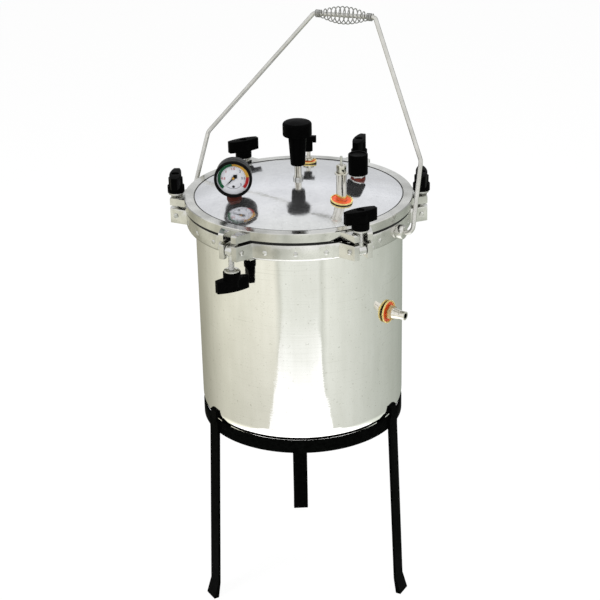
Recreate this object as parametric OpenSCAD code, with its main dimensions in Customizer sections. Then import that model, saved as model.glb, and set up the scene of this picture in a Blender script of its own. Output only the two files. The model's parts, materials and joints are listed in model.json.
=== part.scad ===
// Portable autoclave: a clamped pressure vessel on a tripod stand, with a lift-off lid.
// Origin on the floor under the vessel's axis, +Z up, the gauge faces -Y.

/* [Vessel] */
// Inside diameter of the chamber
chamber_d = 300; // [260:1:340]
// Thickness of the drawn shell
shell_wall = 3; // [2:0.5:5]
// Inside depth of the chamber
chamber_depth = 330; // [240:0.5:420]
// Outside radius where the shell's wall turns into its bottom
shell_corner_r = 36; // [30:1:60]

/* [Body ring] */
// How far the body ring stands out from the shell
body_ring_t = 13; // [8:1:18]
// Height of the body ring
body_ring_h = 25; // [20:0.5:40]
// Radius of the ring's lower edge
body_ring_round = 5; // [2:0.5:8]
// Height of the ears for the swing bolts
body_ear_h = 22; // [16:0.5:26]

/* [Gasket] */
// Thickness of the gasket while it is pressed
gasket_h = 5; // [2:0.5:6]
// Width of the gasket
gasket_w = 15.5; // [6:0.5:16]

/* [Lid] */
// Rise of the lid plate at its centre
dome_rise = 21.5; // [6:0.5:30]
// Thickness of the lid plate
plate_t = 5; // [3:0.5:8]
// Width of the groove between the plate and its ring
groove_w = 1.2; // [0.6:0.2:2]
// Width of the ring round the plate
lid_ring_w = 14; // [10:1:20]
// Width of the ledge that carries the plate
lid_ledge_w = 8; // [5:1:12]
// Height of the ring's ledge under the plate
lid_ledge_h = 7.5; // [4:0.5:12]
// How far the ring stands above the plate's edge
lid_ring_lip = 0.5; // [0:0.1:1.5]
// Height of the ears on the lid
lid_ear_h = 10.7; // [8:0.1:12]

/* [Clamps] */
// Number of swing bolts
clamp_count = 6; // [4:1:8]
// Which clamp hangs open, counted from +X
open_clamp = 4; // [0:1:7]
// Distance of the bolts from the shell's outside
bolt_out = 27; // [26:0.5:32]
// Diameter of a swing bolt
bolt_d = 8; // [6:1:10]
// Diameter of the bolt's eye
eye_d = 15; // [13:0.5:16]
// Thickness of the bolt's eye
eye_w = 11; // [8:0.5:12]
// Diameter of the hinge pin
clamp_pin_d = 7; // [4:0.5:8]
// How far the hinge pin stands out of the ears
clamp_pin_proud = 2; // [1:0.5:4]
// Slot between the two prongs of an ear
ear_slot_w = 13; // [12:0.5:15]
// Width of an ear at its outer end
ear_end_w = 29; // [26:1:34]
// Width of an ear where it meets the ring
ear_root_w = 54; // [40:1:60]
// How far an ear reaches past the bolt
ear_reach = 8.5; // [6:0.5:10]
// Bevel on the outer top edge of a lid ear
ear_bevel = 2; // [1:0.5:4]
// Room between a lid ear and the slackened ferrule
ferrule_gap = 2; // [1.9:0.1:4]
// Diameter of the ferrule under a knob
ferrule_d = 22; // [18:1:26]
// Height of the ferrule
ferrule_h = 3; // [2:0.5:5]
// Diameter of a knob's hub
hub_d = 25; // [20:1:28]
// Height of a knob's hub
hub_h = 10; // [8:1:16]
// Diameter of the core inside a knob's wing
core_d = 21; // [16:1:24]
// Length of a knob's wing
wing_l = 49; // [40:1:52]
// Thickness of the wing at its middle
wing_t = 17; // [14:1:22]
// Thickness of the wing at its ends
wing_end_t = 8; // [6:1:12]
// Height of the wing
wing_h = 18; // [14:1:28]
// Length of bolt inside a knob
bolt_in_knob = 14; // [10:1:18]

/* [Stand] */
// Height of the vessel's underside above the floor
stand_h = 290; // [200:5:400]
// Height of the stand's ring
stand_ring_h = 20; // [16:1:30]
// Thickness of the stand's bars
bar_t = 4; // [3:0.5:6]
// Width of a leg
leg_w = 24; // [16:1:30]
// How far a leg rises above the ring
leg_rise = 18; // [0:1:20]
// Width of the lug at the top of a leg
lug_w = 16; // [10:1:24]
// How far a leg leans out down to its bend
leg_splay = 11; // [0:1:15]
// Height of the bend above the floor
foot_bend_h = 26; // [15:1:70]
// How far the foot runs out below the bend
foot_run = 8; // [6:1:30]
// Length of a shelf tab under the vessel
tab_l = 46; // [44:1:60]

/* [Bail] */
// Diameter of the bail's wire
wire_d = 6.4; // [5:0.2:8]
// Lean of the bail from upright
bail_lean = 25; // [0:1:40]
// Height of the bend in the bail's left arm
left_bend_h = 92; // [80:1:120]
// How far in the left arm leans up to its bend
left_draw = 4; // [0:1:8]
// Height of the bend in the bail's right arm
right_bend_h = 104; // [80:1:120]
// How far in the right arm leans up to its bend
right_draw = 10.5; // [0:0.5:12]
// Height of the grip's middle above the pivots
grip_h = 294.5; // [240:0.5:320]
// Length of the grip between its corners
grip_l = 103; // [90:1:130]
// How far the grip's middle stands to the right of the pivots' middle
grip_shift = 7.5; // [0:0.5:12]
// How much higher the grip's right corner stands than its left
grip_tilt = 5; // [0:0.5:10]
// Diameter of the coil round the grip, at its middle
coil_mid_d = 29; // [24:1:34]
// Diameter of the coil's wire
coil_wire_d = 2; // [1.6:0.2:3]
// Number of curls in the coil
coil_curls = 17; // [10:1:18]
// Number of close curls at each end of the coil
close_curls = 3; // [0:1:4]

/* [Gauge] */
// Diameter of the gauge's bezel
bezel_d = 54.5; // [50:0.5:64]
// Depth of the gauge's case
case_depth = 24; // [20:1:32]
// Height of the dial's centre above the lid
gauge_h = 33; // [32:0.5:50]
// How far the dial leans back
gauge_lean = 0; // [0:1:20]

/* [Handle] */
// Diameter of the handle's cap
cap_d = 42.5; // [36:0.5:55]
// Height of the handle's cap
cap_h = 20; // [14:1:28]
// Height of the cap's underside above the lid
cap_base_h = 67; // [55:0.5:80]
// Height of the stem's lower end above the lid
stem_base_h = 22; // [20:0.5:35]
// Diameter of the handle's rod
rod_d = 10.5; // [8:0.5:14]

/* [Drain] */
// Height of the drain above the vessel's underside
drain_up = 196; // [60:1:220]
// Direction of the drain round the vessel
drain_a = -33; // [-50:1:-32]
// Diameter of the spout's tip
spout_d = 13; // [11:0.5:15]
// Length of the spout beyond its nut
spout_l = 21; // [16:1:40]
// Diameter of the spout's bore
spout_bore_d = 8; // [5:0.5:9]
// Diameter of the bore through the spout's thread
thread_bore_d = 7; // [4:0.5:9]

/* [Hidden] */
$fn = 96;

// clearances and overruns that every piece shares
run_clear = 0.08;
seat_clear = 0.15;
bore_clear = 0.05;
over = 1;

// colours
polished = [0.83, 0.83, 0.81];
cast = [0.76, 0.77, 0.74];
steel = [0.66, 0.67, 0.68];
brass = [0.72, 0.58, 0.33];
black = [0.06, 0.06, 0.06];
orange = [0.85, 0.27, 0.08];
red_brown = [0.42, 0.10, 0.07];

// heights of the vessel, from the floor up
shell_r = chamber_d / 2 + shell_wall;
floor_z = stand_h + shell_wall;
rim_z = floor_z + chamber_depth;
body_ring_r = shell_r + body_ring_t;
bolt_r = shell_r + bolt_out;
body_ring_z = rim_z - body_ring_h;
lid_z = rim_z + gasket_h;

// the lid plate is a slice of a ball, its edge on the ring's ledge
plate_r = shell_r;
plate_in_r = plate_r + groove_w;
lid_ring_r = plate_in_r + lid_ring_w;
plate_edge_z = lid_z + lid_ledge_h + plate_t;
lid_top_z = plate_edge_z + lid_ring_lip;
lid_ring_bevel = 1;
dome_r = (plate_r * plate_r + dome_rise * dome_rise) / (2 * dome_rise);
dome_z = plate_edge_z + dome_rise - dome_r;
function dome_top(r) = dome_z + sqrt(dome_r * dome_r - r * r);

// fittings on the lid: how far out as a share of the plate, and in which direction
gauge_share = 0.685;
safety_share = 0.628;
vent_share = 0.588;
release_share = 0.614;
gauge_r = plate_r * gauge_share;
gauge_a = -149.6;
safety_r = plate_r * safety_share;
safety_a = -48.5;
vent_r = plate_r * vent_share;
vent_a = 13;
release_r = plate_r * release_share;
release_a = 82;

// clamps
clamp_step = 360 / clamp_count;
ear_root_in = 6;
eye_room = 1.5;
ear_root_r = body_ring_r - ear_root_in;
slot_root_r = bolt_r - eye_d / 2 - eye_room;
ear_taper = (ear_root_w - ear_end_w) / (bolt_r + ear_reach - ear_root_r);
ear_bolt_w = ear_end_w + ear_taper * ear_reach;
clamp_pin_l = ear_bolt_w + 2 * clamp_pin_proud;
clamp_pin_bevel = 1;
clamp_pin_end_r = clamp_pin_d / 2 - clamp_pin_bevel;
lid_ear_z = lid_z + lid_ear_h;
pin_drop = 10.5;
pin_z = rim_z - pin_drop;
ferrule_z = lid_ear_z + ferrule_gap - pin_z;
knob_gap = 0.1;
knob_z = ferrule_z + ferrule_h + knob_gap;
bolt_l = knob_z + bolt_in_knob;
knob_bore_room = 3.5;
core_drop = 6;

// bail, in its own plane with its pivots at height zero
bail_a = -30;
pivot_drop = 1.5;
bail_pivot_z = pin_z - pivot_drop;
boss_d = 21;
boss_l = 12;
boss_bevel = 2;
boss_sink = 1;
boss_r = body_ring_r - boss_sink;
arm_off = 12;
arm_in_boss = 4;
bail_s = boss_r + boss_l + arm_off;
bail_in = boss_r + boss_l - arm_in_boss;
wire_bend_r = 10;
arm_bend_r = 14;
grip_bend_r = 6;

// a module's local frame: on the lid, at a clamp, in the bail's plane, at the drain
module on_lid(r, a) { rotate([0, 0, a]) translate([r, 0, dome_top(r)]) rotate([0, 0, -a]) children(); }
module at_clamp(i) {
    rotate([0, 0, i * clamp_step]) translate([bolt_r, 0, pin_z]) rotate([0, i == open_clamp ? 180 : 0, 0])
        children();
}
module in_bail() {
    rotate([0, 0, bail_a]) translate([0, 0, bail_pivot_z]) rotate([-bail_lean, 0, 0]) children();
}
module at_drain() { rotate([0, 0, drain_a]) translate([shell_r, 0, drain_z]) rotate([0, 90, 0]) children(); }

// small shapes that repeat
module tube(d, bore, h) {
    difference() {
        cylinder(d = d, h = h);
        translate([0, 0, -over]) cylinder(d = bore, h = h + 2 * over);
    }
}
module hex_nut(flats, bore, h) {
    difference() {
        cylinder(d = flats / cos(30), h = h, $fn = 6);
        translate([0, 0, -over]) cylinder(d = bore, h = h + 2 * over, $fn = 48);
    }
}
// what lies between two balls about the dome's centre, given as heights over its top face
module dome_slice(low, high, reach) {
    translate([0, 0, dome_z]) rotate_extrude($fn = 180) intersection() {
        difference() {
            circle(r = dome_r + high, $fn = 720);
            circle(r = dome_r + low, $fn = 720);
        }
        square([reach, dome_r + dome_rise]);
    }
}
module dished_washer(d, bore, h, rim) {
    difference() {
        cylinder(d = d, h = h + rim);
        translate([0, 0, h]) cylinder(d = d - 2 * rim, h = rim + over);
        translate([0, 0, -over]) cylinder(d = bore, h = h + 2 * over);
    }
}

// the stand
stand_ring_r = shell_r;
stand_ring_lap = 1;
stand_ring_z = stand_h - stand_ring_lap;
tab_z = stand_h - bar_t;
leg_r = stand_ring_r + bar_t;
foot_tip_r = leg_r + leg_splay + foot_run;
leg_top_z = stand_ring_z + stand_ring_h + leg_rise;
leg_angles = [-147.5, -27.5, 94.5];

module stand_ring() {
    color(black) translate([0, 0, stand_ring_z])
        tube(2 * stand_ring_r, 2 * (stand_ring_r - bar_t), stand_ring_h, $fn = 180);
}

module leg_side() {
    polygon([
        [stand_ring_r, leg_top_z], [leg_r, leg_top_z - bar_t / 2], [leg_r, stand_ring_z],
        [leg_r + leg_splay, foot_bend_h], [foot_tip_r, bar_t / 2], [foot_tip_r, 0],
        [foot_tip_r - 2 * bar_t, 0], [leg_r + leg_splay - bar_t, foot_bend_h], [stand_ring_r, stand_ring_z]
    ]);
}

// each leg is trimmed to the ring's round outside, and narrows to a lug above the ring
module stand_legs() {
    color(black) difference() {
        for (a = leg_angles) rotate([0, 0, a]) rotate([90, 0, 0])
            translate([0, 0, -leg_w / 2]) linear_extrude(leg_w) leg_side();
        translate([0, 0, stand_ring_z])
            cylinder(r = stand_ring_r + bore_clear, h = stand_ring_h + leg_rise + over, $fn = 180);
        for (a = leg_angles, side = [0, 1]) rotate([0, 0, a]) mirror([0, side, 0])
            translate([stand_ring_r - bar_t, lug_w / 2, stand_ring_z + stand_ring_h])
                cube([3 * bar_t, leg_w, leg_rise + over]);
    }
}

// each tab is welded under the ring's inner edge and carries the vessel's flat bottom
module stand_tabs() {
    color(black) intersection() {
        for (a = leg_angles) rotate([0, 0, a])
            translate([stand_ring_r - bar_t - tab_l, -leg_w / 2, tab_z])
                cube([tab_l + bar_t, leg_w, bar_t - bore_clear]);
        translate([0, 0, tab_z]) cylinder(r = stand_ring_r - bar_t - bore_clear, h = bar_t, $fn = 180);
    }
}

// the vessel: a deep-drawn shell with a cast ring riveted round its mouth
module cup_side(r, corner, h) {
    square([r - corner, h]);
    translate([0, corner]) square([r, h - corner]);
    translate([r - corner, corner]) circle(r = corner, $fn = 90);
}

drain_z = stand_h + drain_up;
module drain_hole(d) { at_drain() translate([0, 0, -2 * shell_wall]) cylinder(d = d, h = 4 * shell_wall); }

rivet_step = 15;
rivet_d = 4;
rivet_head_d = 7;
rivet_head_h = 1.2;
rivet_z = body_ring_z + body_ring_h / 2;
function is_boss(a) = abs(sin(a - bail_a)) < sin(1);
rivet_angles = [
    for (i = [0 : clamp_count - 1], k = [-1 : 1])
        let (a = (i + 0.5) * clamp_step + k * rivet_step) if (!is_boss(a)) a
];

module at_rivets() {
    for (a = rivet_angles) rotate([0, 0, a]) translate([0, 0, rivet_z]) rotate([0, 90, 0]) children();
}
module rivet_holes() {
    at_rivets() translate([0, 0, shell_r - 2 * shell_wall])
        cylinder(d = rivet_d + 2 * bore_clear, h = body_ring_t + 3 * shell_wall, $fn = 24);
}

module vessel_shell() {
    color(polished) difference() {
        translate([0, 0, stand_h]) rotate_extrude($fn = 180) difference() {
            cup_side(shell_r, shell_corner_r, rim_z - stand_h);
            translate([0, shell_wall])
                cup_side(shell_r - shell_wall, shell_corner_r - shell_wall, rim_z - stand_h + over);
        }
        drain_hole(drain_thread_d + 2 * bore_clear);
        rivet_holes();
    }
}

module ear_plan(reach) {
    polygon([
        [ear_root_r, -ear_root_w / 2], [bolt_r + reach, -ear_end_w / 2],
        [bolt_r + reach, ear_end_w / 2], [ear_root_r, ear_root_w / 2]
    ]);
}

module ears(z, h, reach) {
    for (i = [0 : clamp_count - 1]) rotate([0, 0, i * clamp_step])
        translate([0, 0, z]) linear_extrude(h) ear_plan(reach);
}

module ear_slots(z, h) {
    for (i = [0 : clamp_count - 1]) rotate([0, 0, i * clamp_step])
        translate([slot_root_r, -ear_slot_w / 2, z - over])
            cube([2 * ear_reach + eye_d, ear_slot_w, h + 2 * over]);
}

module pin_holes(d) {
    for (i = [0 : clamp_count - 1]) rotate([0, 0, i * clamp_step]) translate([bolt_r, 0, pin_z])
        rotate([90, 0, 0]) cylinder(d = d, h = clamp_pin_l + 2 * over, center = true, $fn = 48);
}

module body_ring() {
    color(cast) difference() {
        union() {
            translate([0, 0, body_ring_z]) rotate_extrude($fn = 180) difference() {
                union() {
                    translate([0, body_ring_round]) square([body_ring_r, body_ring_h - body_ring_round]);
                    square([body_ring_r - body_ring_round, body_ring_h]);
                    translate([body_ring_r - body_ring_round, body_ring_round])
                        circle(r = body_ring_round, $fn = 60);
                }
                translate([0, -over]) square([shell_r + bore_clear, body_ring_h + 2 * over]);
            }
            ears(rim_z - body_ear_h, body_ear_h, ear_reach);
        }
        ear_slots(rim_z - body_ear_h, body_ear_h);
        pin_holes(clamp_pin_d + 2 * bore_clear);
        rivet_holes();
        for (a = [0, 180]) rotate([0, 0, bail_a + a]) translate([boss_r, 0, bail_pivot_z])
            rotate([0, 90, 0]) cylinder(d = boss_d + 2 * bore_clear, h = body_ring_t);
    }
}

module ring_rivets() {
    color(steel) at_rivets() {
        translate([0, 0, shell_r - shell_wall]) cylinder(d = rivet_d, h = body_ring_t + shell_wall, $fn = 24);
        intersection() {
            translate([0, 0, body_ring_r - rivet_head_h])
                cylinder(d = rivet_head_d, h = 2 * rivet_head_h, $fn = 24);
            difference() {
                translate([0, 0, body_ring_r + rivet_head_h - rivet_head_d])
                    sphere(r = rivet_head_d, $fn = 48);
                rotate([0, 90, 0]) cylinder(r = body_ring_r, h = 2 * rivet_head_d, center = true, $fn = 180);
            }
        }
    }
}

gasket_in_r = shell_r - shell_wall + seat_clear;
module gasket() {
    color(black) translate([0, 0, rim_z])
        tube(2 * (gasket_in_r + gasket_w), 2 * gasket_in_r, gasket_h - bore_clear, $fn = 180);
}

module clamp_pins() {
    color(steel) for (i = [0 : clamp_count - 1])
        rotate([0, 0, i * clamp_step]) translate([bolt_r, 0, pin_z]) rotate([90, 0, 0])
            rotate_extrude($fn = 48) polygon([
                [0, -clamp_pin_l / 2], [clamp_pin_end_r, -clamp_pin_l / 2],
                [clamp_pin_d / 2, clamp_pin_bevel - clamp_pin_l / 2],
                [clamp_pin_d / 2, clamp_pin_l / 2 - clamp_pin_bevel],
                [clamp_pin_end_r, clamp_pin_l / 2], [0, clamp_pin_l / 2]
            ]);
}

// round lugs on the ring, bored for the turned-in ends of the bail
module bail_bosses() {
    color(cast) for (a = [0, 180]) rotate([0, 0, bail_a + a])
        translate([boss_r, 0, bail_pivot_z]) rotate([0, 90, 0])
        difference() {
            union() {
                cylinder(d = boss_d, h = boss_l - boss_bevel);
                translate([0, 0, boss_l - boss_bevel])
                    cylinder(d1 = boss_d, d2 = boss_d - 2 * boss_bevel, h = boss_bevel);
            }
            translate([0, 0, bail_in - boss_r - over])
                cylinder(d = wire_d + 2 * run_clear, h = boss_l + over, $fn = 48);
        }
}

// the drain: a tapered spout held by a nut inside and a nut outside, with a seal and a dished washer
drain_thread_d = 14;
drain_seal_d = 30;
drain_seal_h = 2.6;
drain_washer_d = 34;
drain_washer_h = 1;
drain_washer_rim = 1.2;
drain_nut_af = 20;
drain_nut_h = 8;
drain_sink = 1;
drain_tail = 14;
drain_face = drain_seal_h - drain_sink;
drain_nut_z = drain_face + drain_washer_h;
spout_z = drain_nut_z + drain_nut_h;
spout_tip_l = 9;
spout_root_d = 17;

module drain_spout() {
    color(polished) at_drain() difference() {
        union() {
            translate([0, 0, -drain_tail]) cylinder(d = drain_thread_d, h = drain_tail + spout_z);
            translate([0, 0, spout_z]) cylinder(d1 = spout_root_d, d2 = spout_d, h = spout_l - spout_tip_l);
            translate([0, 0, spout_z + spout_l - spout_tip_l]) cylinder(d = spout_d, h = spout_tip_l);
        }
        translate([0, 0, -drain_tail - over])
            cylinder(d = thread_bore_d, h = drain_tail + spout_z + 2 * over);
        translate([0, 0, spout_z]) cylinder(d = spout_bore_d, h = spout_l + over);
    }
}

module drain_nut() {
    color(brass) at_drain() translate([0, 0, drain_nut_z])
        hex_nut(drain_nut_af, drain_thread_d + 2 * bore_clear, drain_nut_h);
}

module drain_washer() {
    color(orange) at_drain() translate([0, 0, drain_face])
        dished_washer(drain_washer_d, drain_thread_d + 2 * bore_clear, drain_washer_h, drain_washer_rim);
}

// the seal's inner face follows the round shell
module drain_seal() {
    color(black) difference() {
        at_drain() translate([0, 0, drain_face - drain_seal_h])
            tube(drain_seal_d, drain_thread_d + 2 * bore_clear, drain_seal_h);
        cylinder(r = shell_r, h = rim_z, $fn = 180);
    }
}

module drain_back_nut() {
    color(brass) at_drain() translate([0, 0, drain_sink - drain_tail])
        hex_nut(drain_nut_af, drain_thread_d + 2 * bore_clear, drain_tail - 2 * drain_sink - shell_wall);
}

// a perforated plate on three short feet keeps the load above the water
rack_clear = 2;
rack_r = shell_r - drain_tail - rack_clear;
rack_t = 2.5;
rack_foot_h = 22;
rack_foot_d = 12;
rack_foot_r = shell_r - shell_corner_r - rack_foot_d;
rack_hole_d = 9;
rack_rings = 4;
rack_edge = 20;

module steam_rack() {
    color(steel) translate([0, 0, floor_z]) {
        translate([0, 0, rack_foot_h]) difference() {
            cylinder(r = rack_r, h = rack_t);
            for (k = [1 : rack_rings], j = [0 : 6 * k - 1])
                rotate([0, 0, j * 60 / k]) translate([k * (rack_r - rack_edge) / rack_rings, 0, -over])
                    cylinder(d = rack_hole_d, h = rack_t + 2 * over, $fn = 24);
        }
        for (a = leg_angles) rotate([0, 0, a]) translate([rack_foot_r, 0, 0])
            cylinder(d = rack_foot_d, h = rack_foot_h + rack_t / 2);
    }
}

// the lid: a domed plate on the ledge of a cast ring
gauge_thread_d = 10;
safety_thread_d = 12;
vent_thread_d = 10;
release_thread_d = 8;

module lid_holes(extra) {
    translate([0, 0, lid_z]) cylinder(d = rod_d + extra, h = gauge_h + dome_rise, $fn = 48);
    on_lid(gauge_r, gauge_a) cylinder(d = gauge_thread_d + extra, h = 4 * plate_t, center = true, $fn = 48);
    on_lid(safety_r, safety_a)
        cylinder(d = safety_thread_d + extra, h = 4 * plate_t, center = true, $fn = 48);
    on_lid(vent_r, vent_a) cylinder(d = vent_thread_d + extra, h = 4 * plate_t, center = true, $fn = 48);
    on_lid(release_r, release_a)
        cylinder(d = release_thread_d + extra, h = 4 * plate_t, center = true, $fn = 48);
}

module lid_plate() {
    color(polished) difference() {
        dome_slice(-plate_t, 0, plate_r);
        lid_holes(2 * bore_clear);
    }
}

// the plate's edge beds on a seat turned in the ledge
module lid_ring() {
    color(cast) difference() {
        union() {
            translate([0, 0, lid_z]) rotate_extrude($fn = 180) polygon([
                [plate_r - lid_ledge_w, 0], [lid_ring_r, 0], [lid_ring_r, lid_top_z - lid_z - lid_ring_bevel],
                [lid_ring_r - lid_ring_bevel, lid_top_z - lid_z], [plate_in_r, lid_top_z - lid_z],
                [plate_in_r, lid_ledge_h + lid_ring_lip], [plate_r - lid_ledge_w, lid_ledge_h + lid_ring_lip]
            ]);
            ears(lid_z, lid_ear_h, ear_reach);
        }
        ear_slots(lid_z, lid_ear_h);
        ear_bevels();
        dome_slice(-plate_t - bore_clear, plate_t, plate_in_r);
    }
}

module ear_bevels() {
    for (i = [0 : clamp_count - 1]) rotate([0, 0, i * clamp_step])
        translate([bolt_r + ear_reach, 0, lid_ear_z]) rotate([0, 45, 0])
            cube([ear_bevel * sqrt(2), ear_root_w, ear_bevel * sqrt(2)], center = true);
}

// nuts under the lid, one to each fitting
back_nut_h = 6;
back_nut_af = 17;
wide_nut_af = 19;
small_nut_af = 14;
module under_lid(r, a, d, af) {
    difference() {
        rotate([0, 0, a]) translate([r, 0, dome_top(r) - plate_t - back_nut_h])
            hex_nut(af, d + 2 * bore_clear, back_nut_h + plate_t);
        dome_slice(-plate_t - seat_clear, 2 * plate_t, plate_r);
    }
}

module lid_back_nuts() {
    color(brass) {
        under_lid(0, 0, rod_d, back_nut_af);
        under_lid(gauge_r, gauge_a, gauge_thread_d, back_nut_af);
        under_lid(safety_r, safety_a, safety_thread_d, wide_nut_af);
        under_lid(vent_r, vent_a, vent_thread_d, back_nut_af);
        under_lid(release_r, release_a, release_thread_d, small_nut_af);
    }
}

// the seals' undersides slope with the domed plate, so the fittings stand upright
seal_h = 2.7;
seal_sink = 3.5;
washer_h = 1;
washer_rim = 1;
washer_z = seal_h + washer_h;
safety_seal_d = 32;
vent_seal_d = 22;
release_seal_d = 24;

module bed_on_dome(r, a, d) {
    difference() {
        on_lid(r, a) translate([0, 0, -seal_sink]) children();
        rotate([0, 0, a]) translate([r, 0, dome_top(r)]) rotate([0, asin(r / dome_r), 0])
            translate([0, 0, bore_clear - 3 * seal_sink]) cylinder(d = 2 * d, h = 3 * seal_sink);
    }
}
module dome_seal(r, a, d, bore) { bed_on_dome(r, a, d) tube(d, bore + 2 * bore_clear, seal_sink + seal_h); }

// the safety valve's thin seal and washer lie on the dome's slope, and its barrel's foot is cut to match
safety_seal_h = 1.2;
safety_washer_z = safety_seal_h + washer_h;
safety_slope = asin(safety_r / dome_r);
safety_bore = safety_thread_d / cos(safety_slope) + 2 * bore_clear + 2 * safety_washer_z * tan(safety_slope);
module on_slope(r, a) {
    rotate([0, 0, a]) translate([r, 0, dome_top(r)]) rotate([0, asin(r / dome_r), 0]) children();
}

module valve_seals() {
    color(black) {
        on_slope(safety_r, safety_a) translate([0, 0, bore_clear])
            tube(safety_seal_d, safety_bore, safety_seal_h - bore_clear);
        dome_seal(release_r, release_a, release_seal_d, release_thread_d);
    }
    color(red_brown) dome_seal(vent_r, vent_a, vent_seal_d, vent_thread_d);
}

module valve_washers() {
    color(orange) {
        on_slope(safety_r, safety_a) translate([0, 0, safety_seal_h])
            dished_washer(safety_seal_d, safety_bore, washer_h, washer_rim);
        on_lid(release_r, release_a) translate([0, 0, seal_h])
            dished_washer(release_seal_d, release_thread_d + 2 * bore_clear, washer_h, washer_rim);
    }
}

// the handle: a rod through the lid, a nut and a moulded grip
rod_tail = 14;
rod_in_grip = 30;
handle_nut_h = 4;
handle_nut_d = 15;
stem_d1 = 21;
stem_d2 = 27;
cap_round = 4;
cap_dome = 1.5;
cap_flat_r = cap_d / 2 - cap_round;
cap_ball_r = (cap_flat_r * cap_flat_r + cap_dome * cap_dome) / (2 * cap_dome);

module handle_rod() {
    color(polished) translate([0, 0, dome_top(0) - rod_tail])
        cylinder(d = rod_d, h = rod_tail + stem_base_h + rod_in_grip);
}

module handle_nut() {
    color(steel) translate([0, 0, dome_top(0) + bore_clear])
        tube(handle_nut_d, rod_d + 2 * bore_clear, handle_nut_h);
}

module handle_grip() {
    color(black) translate([0, 0, dome_top(0)]) difference() {
        union() {
            translate([0, 0, stem_base_h]) cylinder(d1 = stem_d1, d2 = stem_d2, h = cap_base_h - stem_base_h);
            translate([0, 0, cap_base_h]) rotate_extrude() {
                square([cap_d / 2, cap_h - cap_round]);
                intersection() {
                    translate([0, cap_h + cap_dome - cap_ball_r]) circle(r = cap_ball_r, $fn = 720);
                    square([cap_flat_r, cap_h + cap_dome]);
                }
                translate([cap_flat_r, cap_h - cap_round]) intersection() {
                    circle(r = cap_round, $fn = 60);
                    square(cap_round);
                }
            }
        }
        cylinder(d = rod_d + 2 * bore_clear, h = stem_base_h + rod_in_grip + seat_clear);
    }
}

// the pressure gauge, in a frame with its dial's centre at zero and its face towards -Y
bezel_step = 1.5;
case_d = bezel_d - 2 * bezel_step;
case_wall = 1.5;
bezel_h = 7;
bezel_lip = 4;
glass_t = 1.5;
dial_t = 1;
dial_in = 4.5;
stem_set_back = 12;
socket_d = 12;
pointer_t = 0.6;
pointer_z = 1.2;
arbor_d = 2;
dial_d = case_d - 2 * case_wall - 2 * seat_clear;
tube_ring_r = 16;
tube_d = 5;
tube_start = -85;
tube_sweep = 250;
arbor_back = 1.5;
gauge_nut_af = 19;
gauge_nut_h = 5;
tube_low = stem_set_back * sin(gauge_lean) + (tube_ring_r + tube_d / 2) * cos(gauge_lean);
socket_top = gauge_h - tube_low - 2 * seat_clear;

module in_gauge() {
    on_lid(gauge_r, gauge_a) translate([0, -stem_set_back, gauge_h]) rotate([90 - gauge_lean, 0, 0])
        children();
}

module gauge_stem(d) {
    on_lid(gauge_r, gauge_a) translate([0, 0, -2 * plate_t])
        cylinder(d = d, h = 2 * plate_t + gauge_h - tube_ring_r, $fn = 48);
}

module gauge_nut() {
    color(red_brown) bed_on_dome(gauge_r, gauge_a, gauge_nut_af)
        hex_nut(gauge_nut_af, gauge_thread_d + 2 * bore_clear, seal_sink + gauge_nut_h);
}

module gauge_socket() {
    color(brass) {
        on_lid(gauge_r, gauge_a) translate([0, 0, -3 * plate_t])
            cylinder(d = gauge_thread_d, h = 3 * plate_t + gauge_nut_h, $fn = 48);
        on_lid(gauge_r, gauge_a) translate([0, 0, gauge_nut_h])
            cylinder(d = socket_d, h = socket_top - gauge_nut_h, $fn = 48);
    }
}

module gauge_case() {
    color(black) difference() {
        in_gauge() translate([0, 0, -case_depth]) cylinder(d = case_d, h = case_depth);
        in_gauge() translate([0, 0, -case_depth + case_wall])
            cylinder(d = case_d - 2 * case_wall, h = case_depth);
        gauge_stem(socket_d + 2 * bore_clear);
    }
}

module gauge_bezel() {
    color(black) in_gauge() difference() {
        translate([0, 0, -bezel_h + case_wall]) cylinder(d = bezel_d, h = bezel_h);
        translate([0, 0, -bezel_h]) cylinder(d = case_d + 2 * bore_clear, h = bezel_h);
        translate([0, 0, -over]) cylinder(d = bezel_d - 2 * bezel_lip, h = 2 * bezel_h);
    }
}

module gauge_glass() {
    color([0.8, 0.9, 0.95, 0.3]) in_gauge() translate([0, 0, -glass_t])
        cylinder(d = dial_d, h = glass_t - bore_clear);
}

module gauge_dial() {
    color("white") in_gauge() translate([0, 0, -dial_in - dial_t])
        tube(dial_d, arbor_d + 2 * run_clear, dial_t);
}

// the curved tube that straightens under pressure, from the socket round to its free end
module gauge_tube() {
    color(brass) in_gauge() translate([0, 0, -stem_set_back])
        rotate([0, 0, tube_start]) rotate_extrude(angle = tube_sweep) translate([tube_ring_r, 0])
            circle(d = tube_d, $fn = 24);
}

// zero lies at the lower left, and the tail is a small diamond
pointer_l = 16;
pointer_tail = 8;
pointer_w = 7;
pointer_zero = 225;
pointer_hub_d = 5;

module gauge_pointer() {
    color(black) in_gauge() {
        translate([0, 0, -dial_in + pointer_z - pointer_t]) linear_extrude(pointer_t) rotate(pointer_zero) {
            polygon([
                [pointer_l, 0], [0, pointer_w / 6], [-pointer_tail / 2, pointer_w / 2],
                [-pointer_tail, 0], [-pointer_tail / 2, -pointer_w / 2], [0, -pointer_w / 6]
            ]);
            circle(d = pointer_hub_d);
        }
        translate([0, 0, -dial_in - dial_t - arbor_back])
            cylinder(d = arbor_d, h = arbor_back + dial_t + pointer_z, $fn = 24);
    }
}

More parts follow.
